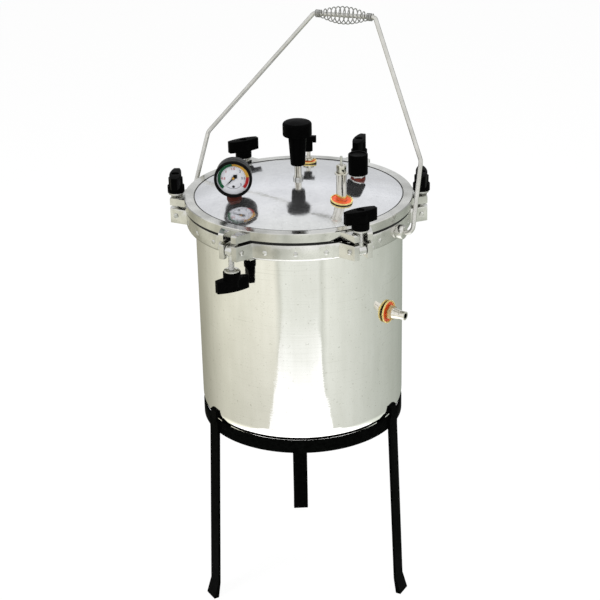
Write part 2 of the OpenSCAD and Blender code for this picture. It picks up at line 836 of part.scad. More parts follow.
// the safety valve: a spring presses a plunger on its seat
barrel_d = 15;
barrel_top = 41;
barrel_flange_d = 19;
barrel_flange_h = 2;
barrel_bore_d = 10;
seat_z = 10;
seat_bore_d = 5;
plunger_d = 8;
plunger_h = 3;
safety_cap_af = 12.5;
safety_cap_h = 11;
safety_pin_d = 3.5;
safety_pin_top = 67;
safety_cap_z = barrel_top + barrel_flange_h;
spring_wire_d = 1;
spring_curls = 7;

module at_safety() { on_lid(safety_r, safety_a) children(); }

module safety_body() {
    color(brass) at_safety() difference() {
        union() {
            translate([0, 0, -3 * plate_t])
                cylinder(d = safety_thread_d, h = 3 * plate_t + safety_washer_z + barrel_d / 2);
            difference() {
                cylinder(d = barrel_d, h = barrel_top);
                rotate([0, 0, safety_a]) rotate([0, safety_slope, 0])
                    translate([0, 0, safety_washer_z + bore_clear - 2 * barrel_d])
                        cylinder(d = 3 * barrel_d, h = 2 * barrel_d);
            }
            translate([0, 0, barrel_top]) cylinder(d = barrel_flange_d, h = barrel_flange_h);
        }
        translate([0, 0, seat_z]) cylinder(d = barrel_bore_d, h = barrel_top);
        translate([0, 0, -3 * plate_t - over])
            cylinder(d = seat_bore_d, h = 4 * plate_t + barrel_top, $fn = 32);
    }
}

module safety_cap() {
    color(brass) at_safety() translate([0, 0, safety_cap_z])
        hex_nut(safety_cap_af, safety_pin_d + 2 * run_clear, safety_cap_h);
}

module safety_pin() {
    color(steel) at_safety() {
        translate([0, 0, seat_z + bore_clear]) cylinder(d = plunger_d, h = plunger_h);
        translate([0, 0, seat_z + plunger_h])
            cylinder(d = safety_pin_d, h = safety_pin_top - seat_z - plunger_h, $fn = 48);
    }
}

// vent: a stem with a loose weight on it
vent_nut_af = 19;
vent_nut_h = 4;
vent_tip = 19;
vent_bore_d = 4;
weight_d = 29;
weight_room = 0.4;
weight_z = seal_h + vent_nut_h + weight_room;
weight_h = 31;
weight_bore_l = vent_tip + bore_clear - weight_z;
weight_dish_d = 23;
weight_dish = 1.5;

module at_vent() { on_lid(vent_r, vent_a) children(); }

module vent_stem() {
    color(polished) at_vent() difference() {
        translate([0, 0, -3 * plate_t]) cylinder(d = vent_thread_d, h = 3 * plate_t + vent_tip);
        translate([0, 0, -3 * plate_t - over])
            cylinder(d = vent_bore_d, h = 3 * plate_t + vent_tip + 2 * over, $fn = 32);
    }
}

module vent_nut() {
    color(steel) at_vent() translate([0, 0, seal_h])
        hex_nut(vent_nut_af, vent_thread_d + 2 * bore_clear, vent_nut_h);
}

module vent_weight() {
    color(black) at_vent() difference() {
        translate([0, 0, weight_z]) cylinder(d = weight_d, h = weight_h);
        translate([0, 0, weight_z + weight_h - weight_dish]) cylinder(d = weight_dish_d, h = 2 * weight_dish);
        translate([0, 0, weight_z - over])
            cylinder(d = vent_thread_d + 2 * run_clear, h = weight_bore_l + over, $fn = 48);
    }
}

// steam release cock behind the handle
release_nut_af = 14;
release_nut_h = 5;
release_post_d = 6;
release_post_top = 19.5;
release_spindle_d = 4;
release_spindle_h = 12;
release_hub_d = 13;
release_hub_h = 14;
release_bar_l = 24;
release_bar_w = 9;
release_bar_h = 9;
release_room = 0.2;

module at_release() { on_lid(release_r, release_a) children(); }

module release_stem() {
    color(polished) at_release() {
        translate([0, 0, -3 * plate_t]) cylinder(d = release_thread_d, h = 3 * plate_t + washer_z, $fn = 48);
        translate([0, 0, washer_z]) cylinder(d = release_nut_af / cos(30), h = release_nut_h, $fn = 6);
        translate([0, 0, washer_z + release_nut_h])
            cylinder(d = release_post_d, h = release_post_top - washer_z - release_nut_h, $fn = 48);
        translate([0, 0, release_post_top]) cylinder(d = release_spindle_d, h = release_spindle_h, $fn = 48);
    }
}

module release_knob() {
    color(black) at_release() translate([0, 0, release_post_top + release_room]) difference() {
        union() {
            cylinder(d = release_hub_d, h = release_hub_h);
            translate([-release_bar_l / 2, -release_bar_w / 2, release_hub_h])
                cube([release_bar_l, release_bar_w, release_bar_h]);
        }
        translate([0, 0, -over])
            cylinder(d = release_spindle_d + 2 * run_clear, h = release_spindle_h + over, $fn = 48);
    }
}

// the bail, drawn as straight runs with a turned bend at each corner, from the right pivot to the left
grip_right = [grip_shift + grip_l / 2, grip_h + grip_tilt / 2];
grip_left = [grip_shift - grip_l / 2, grip_h - grip_tilt / 2];
bail_path = [
    [bail_in, 0], [bail_s, 0], [bail_s - right_draw, right_bend_h], grip_right,
    grip_left, [left_draw - bail_s, left_bend_h], [-bail_s, 0], [-bail_in, 0]
];
bend_rs = [0, wire_bend_r, arm_bend_r, grip_bend_r, grip_bend_r, arm_bend_r, wire_bend_r, 0];
bend_lap = 0.2;
bend_slim = 0.05;
grip_run = 3;
function unit(v) = v / norm(v);
function turn_at(p, i) = acos(unit(p[i] - p[i - 1]) * unit(p[i + 1] - p[i]));
function trim_at(p, r, i) = i <= 0 || i >= len(p) - 1 ? 0 : r[i] * tan(turn_at(p, i) / 2);
function run_l(p, r, i) = norm(p[i + 1] - p[i]) - trim_at(p, r, i) - trim_at(p, r, i + 1);

// a frame at a run's lower end with +Z along it, moved on by some way
module along_run(p, r, i, way) {
    along = unit(p[i + 1] - p[i]);
    from = p[i] + along * (trim_at(p, r, i) + way);
    translate([from[0], 0, from[1]]) rotate([0, atan2(along[0], along[1]), 0]) children();
}

// each run reaches a little way into its bends, which are a hair slimmer
module run(p, r, i, d) {
    start_lap = i == 0 ? 0 : bend_lap;
    end_lap = i == len(p) - 2 ? 0 : bend_lap;
    along_run(p, r, i, -start_lap) cylinder(d = d, h = run_l(p, r, i) + start_lap + end_lap, $fn = 48);
}

// every corner turns to the same side
module bend(p, r, i, d) {
    along = unit(p[i] - p[i - 1]);
    inward = [-along[1], along[0]];
    start = p[i] - along * trim_at(p, r, i);
    centre = start + inward * r[i];
    from_a = atan2(-inward[1], -inward[0]);
    translate([centre[0], 0, centre[1]]) rotate([90, 0, 0]) rotate([0, 0, from_a])
        rotate_extrude(angle = turn_at(p, i)) translate([r[i], 0]) circle(d = d - bend_slim, $fn = 48);
}

module bail_wire() {
    color(polished) in_bail() {
        for (i = [0 : len(bail_path) - 2]) run(bail_path, bend_rs, i, wire_d);
        for (i = [1 : len(bail_path) - 2]) bend(bail_path, bend_rs, i, wire_d);
    }
}

// one unbroken round of wire swept along a coil: a size is [length, end radius, middle radius, curls,
// close curls at each end, pitch of the close curls], and its radius may swell between the close curls
coil_sides = 6;
coil_rings = 10;
coil_nudge = 0.001;
function coil_height(c, n) =
    let (close_l = c[4] * c[5], open_pitch = (c[0] - 2 * close_l) / (c[3] - 2 * c[4]))
    n < c[4] ? n * c[5] : n > c[3] - c[4] ? c[0] - (c[3] - n) * c[5] : close_l + (n - c[4]) * open_pitch;
function swell(c, n) = n <= c[4] || n >= c[3] - c[4] ? 0 : sin(180 * (n - c[4]) / (c[3] - 2 * c[4]));
function coil_point(c, n) =
    let (r = c[1] + (c[2] - c[1]) * swell(c, n)) [r * cos(360 * n), r * sin(360 * n), coil_height(c, n)];
function coil_points(c, d) = [
    for (k = [0 : c[3] * coil_rings])
        let (
            n = k / coil_rings,
            along = unit(coil_point(c, n + coil_nudge) - coil_point(c, n - coil_nudge)),
            out = unit(cross(along, [0, 0, 1])),
            up = cross(out, along)
        )
        for (j = [0 : coil_sides - 1])
            coil_point(c, n) + (out * cos(j * 60) + up * sin(j * 60)) * d / 2
];
function coil_faces(curls) = let (n = coil_sides, last = curls * coil_rings * n) concat(
    [for (j = [1 : n - 2]) [0, j, j + 1]],
    [for (j = [1 : n - 2]) [last, last + j + 1, last + j]],
    [for (k = [0 : curls * coil_rings - 1], j = [0 : n - 1])
        [k * n + j, (k + 1) * n + j, k * n + (j + 1) % n]],
    [for (k = [0 : curls * coil_rings - 1], j = [0 : n - 1])
        [k * n + (j + 1) % n, (k + 1) * n + j, (k + 1) * n + (j + 1) % n]]
);
module coil(c, d) { polyhedron(points = coil_points(c, d), faces = coil_faces(c[3]), convexity = 10); }

// least gap of a coil to its own next curl, measured between points of the swept centre line
function coil_gap(c, d) = min([
    for (k = [0 : (c[3] - 1) * coil_rings], j = [-3 : 3])
        norm(coil_point(c, k / coil_rings) - coil_point(c, (k + coil_rings + j / 3) / coil_rings))
]) - d;

coil_room = 1.2;
coil_end_room = 0.3;
close_gap = 0.6;
coil_end_r = wire_d / 2 + coil_wire_d / 2 + coil_room;
coil_l = run_l(bail_path, bend_rs, grip_run) - 2 * coil_end_room - coil_wire_d;
coil_mid_r = coil_mid_d / 2 - coil_wire_d / 2;
grip_coil = [coil_l, coil_end_r, coil_mid_r, coil_curls, close_curls, coil_wire_d + close_gap];
echo("least gap of the grip's coil to itself", coil_gap(grip_coil, coil_wire_d));

module bail_grip() {
    color(steel) in_bail() along_run(bail_path, bend_rs, grip_run, coil_end_room + coil_wire_d / 2)
        coil(grip_coil, coil_wire_d);
}

spring_z = seat_z + plunger_h + bore_clear + spring_wire_d / 2 + seat_clear;
spring_l = safety_cap_z - spring_z - spring_wire_d / 2 - seat_clear;
spring_r = plunger_d / 2 - spring_wire_d / 2;
safety_coil = [spring_l, spring_r, spring_r, spring_curls, 0, 0];
echo("least gap of the safety spring to itself", coil_gap(safety_coil, spring_wire_d));

module safety_spring() {
    color(steel) at_safety() translate([0, 0, spring_z]) coil(safety_coil, spring_wire_d);
}

// the clamps, each drawn with its hinge pin at zero, +X outwards and +Z along the bolt
module eye_bolt(i) {
    color(steel) at_clamp(i) difference() {
        union() {
            rotate([90, 0, 0]) cylinder(d = eye_d, h = eye_w, center = true);
            cylinder(d = bolt_d, h = bolt_l, $fn = 48);
        }
        rotate([90, 0, 0])
            cylinder(d = clamp_pin_d + 2 * run_clear, h = eye_w + 2 * over, center = true, $fn = 48);
    }
}

module ferrule(i) {
    color(steel) at_clamp(i) translate([0, 0, ferrule_z]) tube(ferrule_d, bolt_d + 2 * run_clear, ferrule_h);
}

// the wing's plan is a lens with blunt ends
lens_r = (pow(wing_l / 2, 2) + pow((wing_t - wing_end_t) / 2, 2)) / (wing_t - wing_end_t);

module wing_plan() {
    intersection() {
        translate([lens_r - wing_t / 2, 0]) circle(r = lens_r, $fn = 180);
        translate([wing_t / 2 - lens_r, 0]) circle(r = lens_r, $fn = 180);
        square([wing_t, wing_l], center = true);
    }
}

// which way each knob's wing has come to rest
wing_turns = [0, 105, 0, 0, 120, 0, 0, 0];
module knob(i) {
    color(black) at_clamp(i) translate([0, 0, knob_z]) difference() {
        union() {
            cylinder(d = hub_d, h = hub_h);
            translate([0, 0, hub_h]) cylinder(d = core_d, h = wing_h - core_drop);
            translate([0, 0, hub_h]) rotate([0, 0, wing_turns[i]]) linear_extrude(wing_h) wing_plan();
        }
        translate([0, 0, -over])
            cylinder(d = bolt_d + 2 * run_clear, h = bolt_in_knob + knob_bore_room + over, $fn = 48);
    }
}

stand_ring();
stand_legs();
stand_tabs();
vessel_shell();
body_ring();
ring_rivets();
gasket();
clamp_pins();
bail_bosses();
drain_spout();
drain_nut();
drain_washer();
drain_seal();
drain_back_nut();
steam_rack();
lid_plate();
lid_ring();
lid_back_nuts();
valve_seals();
valve_washers();
handle_rod();
handle_nut();
handle_grip();
gauge_nut();
gauge_socket();
gauge_case();
gauge_bezel();
gauge_glass();
gauge_dial();
gauge_tube();
gauge_pointer();
safety_body();
safety_cap();
safety_spring();
safety_pin();
vent_stem();
vent_nut();
vent_weight();
release_stem();
release_knob();
bail_wire();
bail_grip();
eye_bolt(0);  // eye_bolt_1
eye_bolt(1);  // eye_bolt_2
eye_bolt(2);  // eye_bolt_3
eye_bolt(3);  // eye_bolt_4
eye_bolt(4);  // eye_bolt_5
eye_bolt(5);  // eye_bolt_6
ferrule(0);  // ferrule_1
ferrule(1);  // ferrule_2
ferrule(2);  // ferrule_3
ferrule(3);  // ferrule_4
ferrule(4);  // ferrule_5
ferrule(5);  // ferrule_6
knob(0);  // knob_1
knob(1);  // knob_2
knob(2);  // knob_3
knob(3);  // knob_4
knob(4);  // knob_5
knob(5);  // knob_6
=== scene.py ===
import json
import math

import bpy
from mathutils import Matrix, Vector


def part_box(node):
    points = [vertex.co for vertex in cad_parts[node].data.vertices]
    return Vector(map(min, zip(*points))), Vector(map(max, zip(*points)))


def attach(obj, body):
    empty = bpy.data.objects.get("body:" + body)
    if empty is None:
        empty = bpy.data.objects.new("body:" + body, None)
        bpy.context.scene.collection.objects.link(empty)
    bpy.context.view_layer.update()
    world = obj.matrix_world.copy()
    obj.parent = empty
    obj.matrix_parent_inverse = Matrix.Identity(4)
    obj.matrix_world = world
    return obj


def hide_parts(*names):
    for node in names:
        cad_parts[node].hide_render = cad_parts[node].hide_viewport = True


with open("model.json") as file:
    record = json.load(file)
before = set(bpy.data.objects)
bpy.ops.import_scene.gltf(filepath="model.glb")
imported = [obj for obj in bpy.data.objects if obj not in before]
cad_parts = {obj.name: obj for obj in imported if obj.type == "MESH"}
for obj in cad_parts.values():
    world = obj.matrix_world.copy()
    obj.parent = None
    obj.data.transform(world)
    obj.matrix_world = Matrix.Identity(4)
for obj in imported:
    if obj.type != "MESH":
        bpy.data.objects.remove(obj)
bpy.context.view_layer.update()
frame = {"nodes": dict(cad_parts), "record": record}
scene = bpy.context.scene
nodes = frame["nodes"]
record = frame["record"]
bodyOf = {n: b for b, members in record["behaviour"]["bodies"].items() for n in members}
slotOf = {s["node"]: s["material_slot"] for s in record["subparts"]}
joints = {j["name"]: j for j in record["behaviour"]["joints"]}
mounts = {m["name"]: m for m in record["mounts"]}
mm = 0.001
white = (1, 1, 1, 1)
print("frame loaded:", len(nodes), "nodes")


# a value inside a material, with the operators that the finishes use
class Sock:
    def __init__(self, finish, socket):
        self.finish, self.socket = finish, socket

    def _op(self, op, *values):
        return self.finish.node("ShaderNodeMath", {"operation": op}, values)

    def __add__(self, o): return self._op("ADD", self, o)
    def __radd__(self, o): return self._op("ADD", o, self)
    def __sub__(self, o): return self._op("SUBTRACT", self, o)
    def __rsub__(self, o): return self._op("SUBTRACT", o, self)
    def __mul__(self, o): return self._op("MULTIPLY", self, o)
    def __rmul__(self, o): return self._op("MULTIPLY", o, self)
    def __truediv__(self, o): return self._op("DIVIDE", self, o)
    def __rtruediv__(self, o): return self._op("DIVIDE", o, self)
    def __gt__(self, o): return self._op("GREATER_THAN", self, o)
    def __lt__(self, o): return self._op("LESS_THAN", self, o)
    def __abs__(self): return self._op("ABSOLUTE", self)
    def sqrt(self): return self._op("SQRT", self)
    def sine(self): return self._op("SINE", self)
    def floor(self): return self._op("FLOOR", self)
    def larger(self, o): return self._op("MAXIMUM", self, o)
    def angle(self, o): return self._op("ARCTAN2", self, o)

    def clip(self, low=0.0, high=1.0):
        return self.finish.node("ShaderNodeClamp", {}, [self, low, high])


def opaque(value):
    return (*value, 1) if isinstance(value, tuple) and len(value) == 3 else value


def within(value, low, high):
    return (value > low) * (value < high)


class Finish:
    def __init__(self, name, isWorld=False):
        self.mat = (bpy.data.worlds if isWorld else bpy.data.materials).new(name)
        self.mat.use_nodes = True
        self.tree = self.mat.node_tree
        self.tree.nodes.clear()
        self.out = self.tree.nodes.new("ShaderNodeOutput" + ("World" if isWorld else "Material"))
        self.coords = None

    def node(self, kind, settings=None, inputs=(), out=0):
        n = self.tree.nodes.new(kind)
        for key, value in (settings or {}).items():
            if key == "stops":
                ramp = n.color_ramp
                while len(ramp.elements) < len(value):
                    ramp.elements.new(0.5)
                for e, (at, colour) in zip(ramp.elements, value):
                    e.position = at
                    e.color = opaque(colour)
            else:
                setattr(n, key, value)
        pairs = inputs.items() if isinstance(inputs, dict) else enumerate(inputs)
        for key, value in pairs:
            if value is None:
                continue
            if isinstance(value, Sock):
                self.tree.links.new(value.socket, n.inputs[key])
            else:
                n.inputs[key].default_value = value
        return Sock(self, n.outputs[out])

    def place(self):
        if self.coords is None:
            self.coords = self.node("ShaderNodeTexCoord", {}, [], "Object")
        return self.coords

    def xyz(self, centre=(0, 0, 0)):
        v = self.node("ShaderNodeVectorMath", {"operation": "SUBTRACT"}, [self.place(), centre])
        sep = self.tree.nodes.new("ShaderNodeSeparateXYZ")
        self.tree.links.new(v.socket, sep.inputs[0])
        return [Sock(self, sep.outputs[i]) for i in range(3)]

    def noise(self, scale, detail=2.0, stretch=(1, 1, 1), rough=0.5):
        v = self.node("ShaderNodeVectorMath", {"operation": "MULTIPLY"}, [self.place(), stretch])
        inputs = {"Vector": v, "Scale": scale, "Detail": detail, "Roughness": rough}
        return self.node("ShaderNodeTexNoise", {}, inputs)

    # a noise stays mostly between 0.3 and 0.7, so that is what runs from low to high
    def spread(self, value, low, high, fromLow=0.3, fromHigh=0.7):
        return self.node("ShaderNodeMapRange", {}, [value, fromLow, fromHigh, low, high])

    def blend(self, fac, a, b):
        n = self.tree.nodes.new("ShaderNodeMix")
        n.data_type = "RGBA"
        for key, value in (("Factor", fac), ("A", a), ("B", b)):
            sock = next(s for s in n.inputs if s.name == key and s.enabled)
            if isinstance(value, Sock):
                self.tree.links.new(value.socket, sock)
            else:
                sock.default_value = opaque(value)
        return Sock(self, next(s for s in n.outputs if s.enabled))

    def vary(self, tone, low, high):
        return self.blend(self.spread(tone, 0.0, 1.0), low, high)

    # marks are drawn over a colour where their tone passes through the span
    def mark(self, colour, tone, share, span, ink):
        return self.blend(self.spread(tone, 0.0, share, *span), colour, ink)

    def bump(self, height, strength, distance, under=None):
        inputs = {"Height": height, "Strength": strength, "Distance": distance, "Normal": under}
        return self.node("ShaderNodeBump", {}, inputs)

    def light(self, colour, strength=1.0):
        return self.node("ShaderNodeEmission", {}, {"Color": opaque(colour), "Strength": strength})

    def rays(self):
        path = self.tree.nodes.new("ShaderNodeLightPath")
        kinds = ("Is Camera Ray", "Is Glossy Ray", "Is Transmission Ray")
        return [Sock(self, path.outputs[kind]) for kind in kinds]

    def show(self, shader):
        self.tree.links.new(shader.socket, self.out.inputs["Surface"])
        return self.mat

    def surface(self, **sockets):
        names = {"color": "Base Color", "metal": "Metallic", "rough": "Roughness", "normal": "Normal",
                 "specular": "Specular IOR Level", "alpha": "Alpha"}
        inputs = {names[key]: opaque(value) for key, value in sockets.items()}
        return self.show(self.node("ShaderNodeBsdfPrincipled", {}, inputs))


# camera
camera = {"at": (0.0794, -2.1970, 1.4459), "to": (-0.0012, 0.0, 0.4677), "lens": 95.43,
          "roll": -1.23, "sensor": 36, "farthest": 50}
camData = bpy.data.cameras.new("camera")
camData.lens = camera["lens"]
camData.sensor_width = camera["sensor"]
camData.clip_end = camera["farthest"]
camObj = bpy.data.objects.new("camera", camData)
scene.collection.objects.link(camObj)
look = Vector(camera["to"]) - Vector(camera["at"])
facing = look.to_track_quat("-Z", "Y").to_matrix().to_4x4()
roll = Matrix.Rotation(math.radians(camera["roll"]), 4, "Z")
camObj.matrix_world = Matrix.Translation(camera["at"]) @ facing @ roll
scene.camera = camObj

# world: white to the camera and in mirrors, a softer level as light
worldLight = 0.45
worldFinish = Finish("studio", isWorld=True)
eyeRay, mirrorRay, throughRay = worldFinish.rays()
isSeen = eyeRay.larger(mirrorRay).larger(throughRay)
lit = worldFinish.node("ShaderNodeBackground", {}, {"Color": white, "Strength": worldLight})
seen = worldFinish.node("ShaderNodeBackground", {}, {"Color": white})
worldMix = worldFinish.node("ShaderNodeMixShader", {}, [isSeen, lit, seen])
scene.world = worldFinish.show(worldMix)
scene.view_settings.view_transform = "Standard"

# floor: mostly its own white to the camera and in mirrors, and matte where the lamps reach it
floorLook = {"size": 14.0, "glow": 1.04, "matte": (0.85, 0.85, 0.85), "seen": 0.90, "mirrored": 0.85}
bpy.ops.object.select_all(action="DESELECT")
bpy.ops.mesh.primitive_plane_add(size=floorLook["size"], location=(0, 0, 0))
floor = bpy.context.object
floor.name = "floor"
floorFinish = Finish("floorWhite")
eyeRay, mirrorRay, throughRay = floorFinish.rays()
mirrored = mirrorRay * floorLook["mirrored"] + throughRay * floorLook["mirrored"]
share = (eyeRay * floorLook["seen"] + mirrored).clip()
matte = floorFinish.node("ShaderNodeBsdfDiffuse", {}, {"Color": opaque(floorLook["matte"])})
glow = floorFinish.light(white, floorLook["glow"])
floorMix = floorFinish.node("ShaderNodeMixShader", {}, [share, matte, glow])
floor.data.materials.append(floorFinish.show(floorMix))


# studio cards that only mirror-like surfaces see
def card(name, centre, size, turn, mat):
    bpy.ops.object.select_all(action="DESELECT")
    rotation = [math.radians(a) for a in turn]
    bpy.ops.mesh.primitive_plane_add(size=1, location=centre, rotation=rotation)
    c = bpy.context.object
    c.name = name
    c.scale = (size[0], size[1], 1)
    c.data.materials.append(mat)
    c.visible_camera = c.visible_diffuse = c.visible_shadow = c.visible_transmission = False


# what the pot mirrors is the floor around it, so its tone runs with the angle from the front
floorTones = [
    (-180, (0.30, 0.29, 0.22)),
    (-130, (0.46, 0.45, 0.36)),
    (-88, (0.84, 0.83, 0.70)),
    (-25, (0.97, 0.96, 0.85)),
    (-20, (0.72, 0.73, 0.65)),
    (-16, (0.90, 0.92, 0.85)),
    (20, (0.90, 0.92, 0.86)),
    (24, (0.72, 0.74, 0.67)),
    (29, (0.92, 0.94, 0.87)),
    (90, (0.60, 0.63, 0.57)),
    (180, (0.30, 0.33, 0.28)),
]
mirror = {
    "size": 12.0, "height": 0.004, "level": 0.92,
    "nearSpan": (0.70, 1.30), "dimLeft": 0.18, "dimRight": 0.06, "dimSpan": (-0.6, 0.6),
    "rimGlow": 0.6, "rimSpan": (0.45, 0.58),
    "sheetHalf": 0.40, "sheetWaver": 0.035, "waverScale": 55.0, "sheetEnd": (0.86, 1.22), "sheetGlow": 0.4,
}


# darker near the pot but for a light rim under it, and a white sheet with uneven sides in front
def mirrorFinish():
    f = Finish("mirrorFloorLight")
    x, y, z = f.xyz()
    stops = [((angle + 180) / 360, colour) for angle, colour in floorTones]
    tones = f.node("ShaderNodeValToRGB", {"stops": stops}, [x.angle(y * -1) / math.tau + 0.5])
    x, y = x * mirror["size"], y * mirror["size"]  # a scaled card's coordinates are shares of its width
    reach = (x * x + y * y).sqrt()
    nearness = f.spread(reach, 1.0, 0.0, *mirror["nearSpan"])
    dim = f.spread(x, mirror["dimLeft"], mirror["dimRight"], *mirror["dimSpan"])
    underRim = f.spread(reach, mirror["rimGlow"], 0.0, *mirror["rimSpan"])
    waver = f.spread(f.noise(mirror["waverScale"], 2.0), -mirror["sheetWaver"], mirror["sheetWaver"])
    sheet = (abs(x) + waver < mirror["sheetHalf"]) * (y < 0)
    sheet = sheet * f.spread(y * -1, 1.0, 0.0, *mirror["sheetEnd"])
    strength = mirror["level"] - nearness * dim + underRim + sheet * mirror["sheetGlow"]
    return f.show(f.light(f.blend(sheet, tones, (1, 1, 1)), strength))


card("mirrorFloor", (0, 0, mirror["height"]), (mirror["size"], mirror["size"]), (0, 0, 0), mirrorFinish())

# and the domed lid mirrors the wall behind, palest at middle height and duller to both sides
backWall = {
    "centre": (0.0, 4.5, 5.8), "size": (16.0, 11.6), "edge": 0.55, "edgeSpan": (0.06, 0.30),
    "tones": [(0.0, (0.64, 0.65, 0.66)), (0.14, (0.68, 0.69, 0.70)), (0.22, (0.84, 0.85, 0.87)),
              (0.38, (0.88, 0.885, 0.89)), (0.60, (0.80, 0.81, 0.78)), (1.0, (0.74, 0.75, 0.70))],
}


def backWallFinish():
    f = Finish("backWallLight")
    x, y, z = f.xyz()
    tones = f.node("ShaderNodeValToRGB", {"stops": backWall["tones"]}, [y + 0.5])
    side = f.spread(abs(x), 1.0, backWall["edge"], *backWall["edgeSpan"])
    return f.show(f.light(tones, side))


card("backWall", backWall["centre"], backWall["size"], (90, 0, 0), backWallFinish())

# dark flags draw a dark line down each round fitting and along the top edges
flags = {
    "flagLeft": ((-2.4, -1.9, 1.8), (0.34, 1.2), (90, 0, -51.6), (0.10, 0.10, 0.095)),
    "flagRight": ((1.9, -2.4, 1.8), (0.30, 1.2), (90, 0, 38.0), (0.10, 0.10, 0.095)),
    "flagFarLeft": ((-3.4, 1.6, 1.8), (0.40, 1.4), (90, 0, -115.0), (0.12, 0.12, 0.115)),
    "flagFarRight": ((3.4, 1.4, 1.8), (0.40, 1.4), (90, 0, 112.0), (0.12, 0.12, 0.115)),
    "flagAbove": ((0.0, 0.5, 3.4), (1.6, 0.30), (0, 0, 0), (0.20, 0.20, 0.195)),
}
for flagName, (centre, size, turn, colour) in flags.items():
    flagFinish = Finish(flagName + "Light")
    card(flagName, centre, size, turn, flagFinish.show(flagFinish.light(colour)))

# soft lamps, which no mirror shows
lamps = {
    "key": ((-1.6, -1.6, 2.4), (0, 0, 0.5), (0.9, 0.9), 42, (1.0, 0.99, 0.96)),
    "fill": ((1.9, -1.2, 1.5), (0, 0, 0.45), (1.0, 1.4), 20, (0.97, 0.99, 1.0)),
    "top": ((0.2, 0.9, 2.6), (0, 0, 0.6), (1.4, 1.0), 26, (1, 1, 1)),
}
for lampName, (at, to, size, power, colour) in lamps.items():
    data = bpy.data.lights.new(lampName, "AREA")
    data.shape = "RECTANGLE"
    data.size, data.size_y = size
    data.energy = power
    data.color = colour
    lamp = bpy.data.objects.new(lampName, data)
    scene.collection.objects.link(lamp)
    lamp.visible_glossy = False
    facing = (Vector(to) - Vector(at)).to_track_quat("-Z", "Y").to_matrix().to_4x4()
    lamp.matrix_world = Matrix.Translation(at) @ facing
print("studio ready")

# where the fittings are, read from the joints and the nodes
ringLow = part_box("body_ring")[0][2]
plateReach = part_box("lid_plate")[1][0]
pinHeight = joints["clamp_1_swing"]["pos_m"][2]
dialCentre = joints["pointer_turn"]["pos_m"]
dialLean = math.asin(-joints["pointer_turn"]["axis"][2])


def middle(name):
    low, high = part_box(name)
    return [(a + b) / 2 for a, b in zip(low, high)]


# the pot's wall; each kind of mark has its share, the span of its noise and its colour
wallLook = {
    "low": (0.86, 0.855, 0.825), "high": (0.98, 0.975, 0.96),
    "scratch": (0.20, (0.62, 0.74), (0.52, 0.52, 0.48)),
    "seam": (0.16, (0.68, 0.76), (0.50, 0.50, 0.46)),
    "specks": (0.5, (0.64, 0.76), (0.42, 0.41, 0.36)),
    "rough": (0.035, 0.08), "streakRough": (-0.01, 0.025), "roughClip": (0.03, 0.5),
    "dents": (0.42, 0.004), "ripple": (0.26, 0.0018), "streak": (0.05, 0.0005),
}


def wallFinish(look):
    f = Finish("polishedWall")
    broad = f.noise(7.0, 3.0, (1, 1, 0.6))
    ripple = f.noise(24.0, 2.0, (1, 1, 0.35))
    blotch = f.noise(38.0, 4.0, (1, 1, 0.5))
    streak = f.noise(3.0, 3.0, (1.2, 1.2, 160))
    drips = f.noise(60.0, 4.0, (1, 1, 0.08), 0.7)
    colour = f.blend(f.spread(blotch, 0.0, 0.5) + f.spread(drips, 0.0, 0.5), look["low"], look["high"])
    colour = f.mark(colour, f.noise(9.0, 2.0, (1, 1, 70), 0.6), *look["scratch"])
    colour = f.mark(colour, f.noise(42.0, 2.0, (1, 1, 0.01)), *look["seam"])
    colour = f.mark(colour, f.noise(300.0, 3.0), *look["specks"])
    rough = f.spread(broad, *look["rough"]) + f.spread(streak, *look["streakRough"])
    dents = f.bump(broad, *look["dents"], f.bump(ripple, *look["ripple"]))
    return f.surface(color=colour, metal=1.0, rough=rough.clip(*look["roughClip"]),
                     normal=f.bump(streak, *look["streak"], dents))


# the lid's plate, mottled by handling, with painted shade for the dark groove round its rim
lidLook = {
    "low": (0.64, 0.645, 0.67), "high": (0.97, 0.975, 0.99),
    "specks": (0.35, (0.62, 0.74), (0.45, 0.45, 0.45)),
    "groove": 0.8 * mm, "grooveShade": (0.03, 0.03, 0.03), "metal": 0.965,
    "rough": (0.045, 0.13), "scuffRough": (0.0, 0.05), "waves": (0.22, 0.003), "scuffs": (0.06, 0.0004),
}


def lidFinish(look):
    f = Finish("polishedLid")
    smear = f.noise(9.0, 4.0, (1, 1.6, 1))
    cloud = f.noise(26.0, 5.0)
    scuffs = f.noise(70.0, 4.0, (1, 0.25, 1), 0.7)
    mottle = f.noise(190.0, 4.0, (1, 1, 1), 0.65)
    tone = f.spread(smear, 0.0, 0.40) + f.spread(cloud, 0.0, 0.25)
    tone = tone + f.spread(scuffs, 0.0, 0.15) + f.spread(mottle, 0.0, 0.20)
    colour = f.mark(f.blend(tone, look["low"], look["high"]), f.noise(240.0, 3.0), *look["specks"])
    x, y, z = f.xyz()
    # painted shade: the outermost rim of the plate is darkened to stand for the shadow in the groove
    colour = f.blend((x * x + y * y).sqrt() > plateReach - look["groove"], colour, look["grooveShade"])
    rough = f.spread(cloud, *look["rough"]) + f.spread(scuffs, *look["scuffRough"])
    return f.surface(color=colour, metal=look["metal"], rough=rough, specular=0.5,
                     normal=f.bump(scuffs, *look["scuffs"], f.bump(smear, *look["waves"])))


# the rings and the bail's lugs, with painted shade along the body ring's lower edge
castLook = {
    "low": (0.34, 0.34, 0.31), "high": (0.90, 0.895, 0.86),
    "pits": (0.4, (0.62, 0.74), (0.26, 0.26, 0.23)),
    "paintedDark": 0.8, "shadeSpan": (0.6 * mm, 2.6 * mm), "shadeInk": (0.12, 0.12, 0.10),
    "rough": (0.10, 0.24), "sweepRough": (-0.02, 0.03), "roughClip": (0.07, 0.6),
    "body": (0.30, 0.0018), "pitBump": (0.10, 0.0003),
}


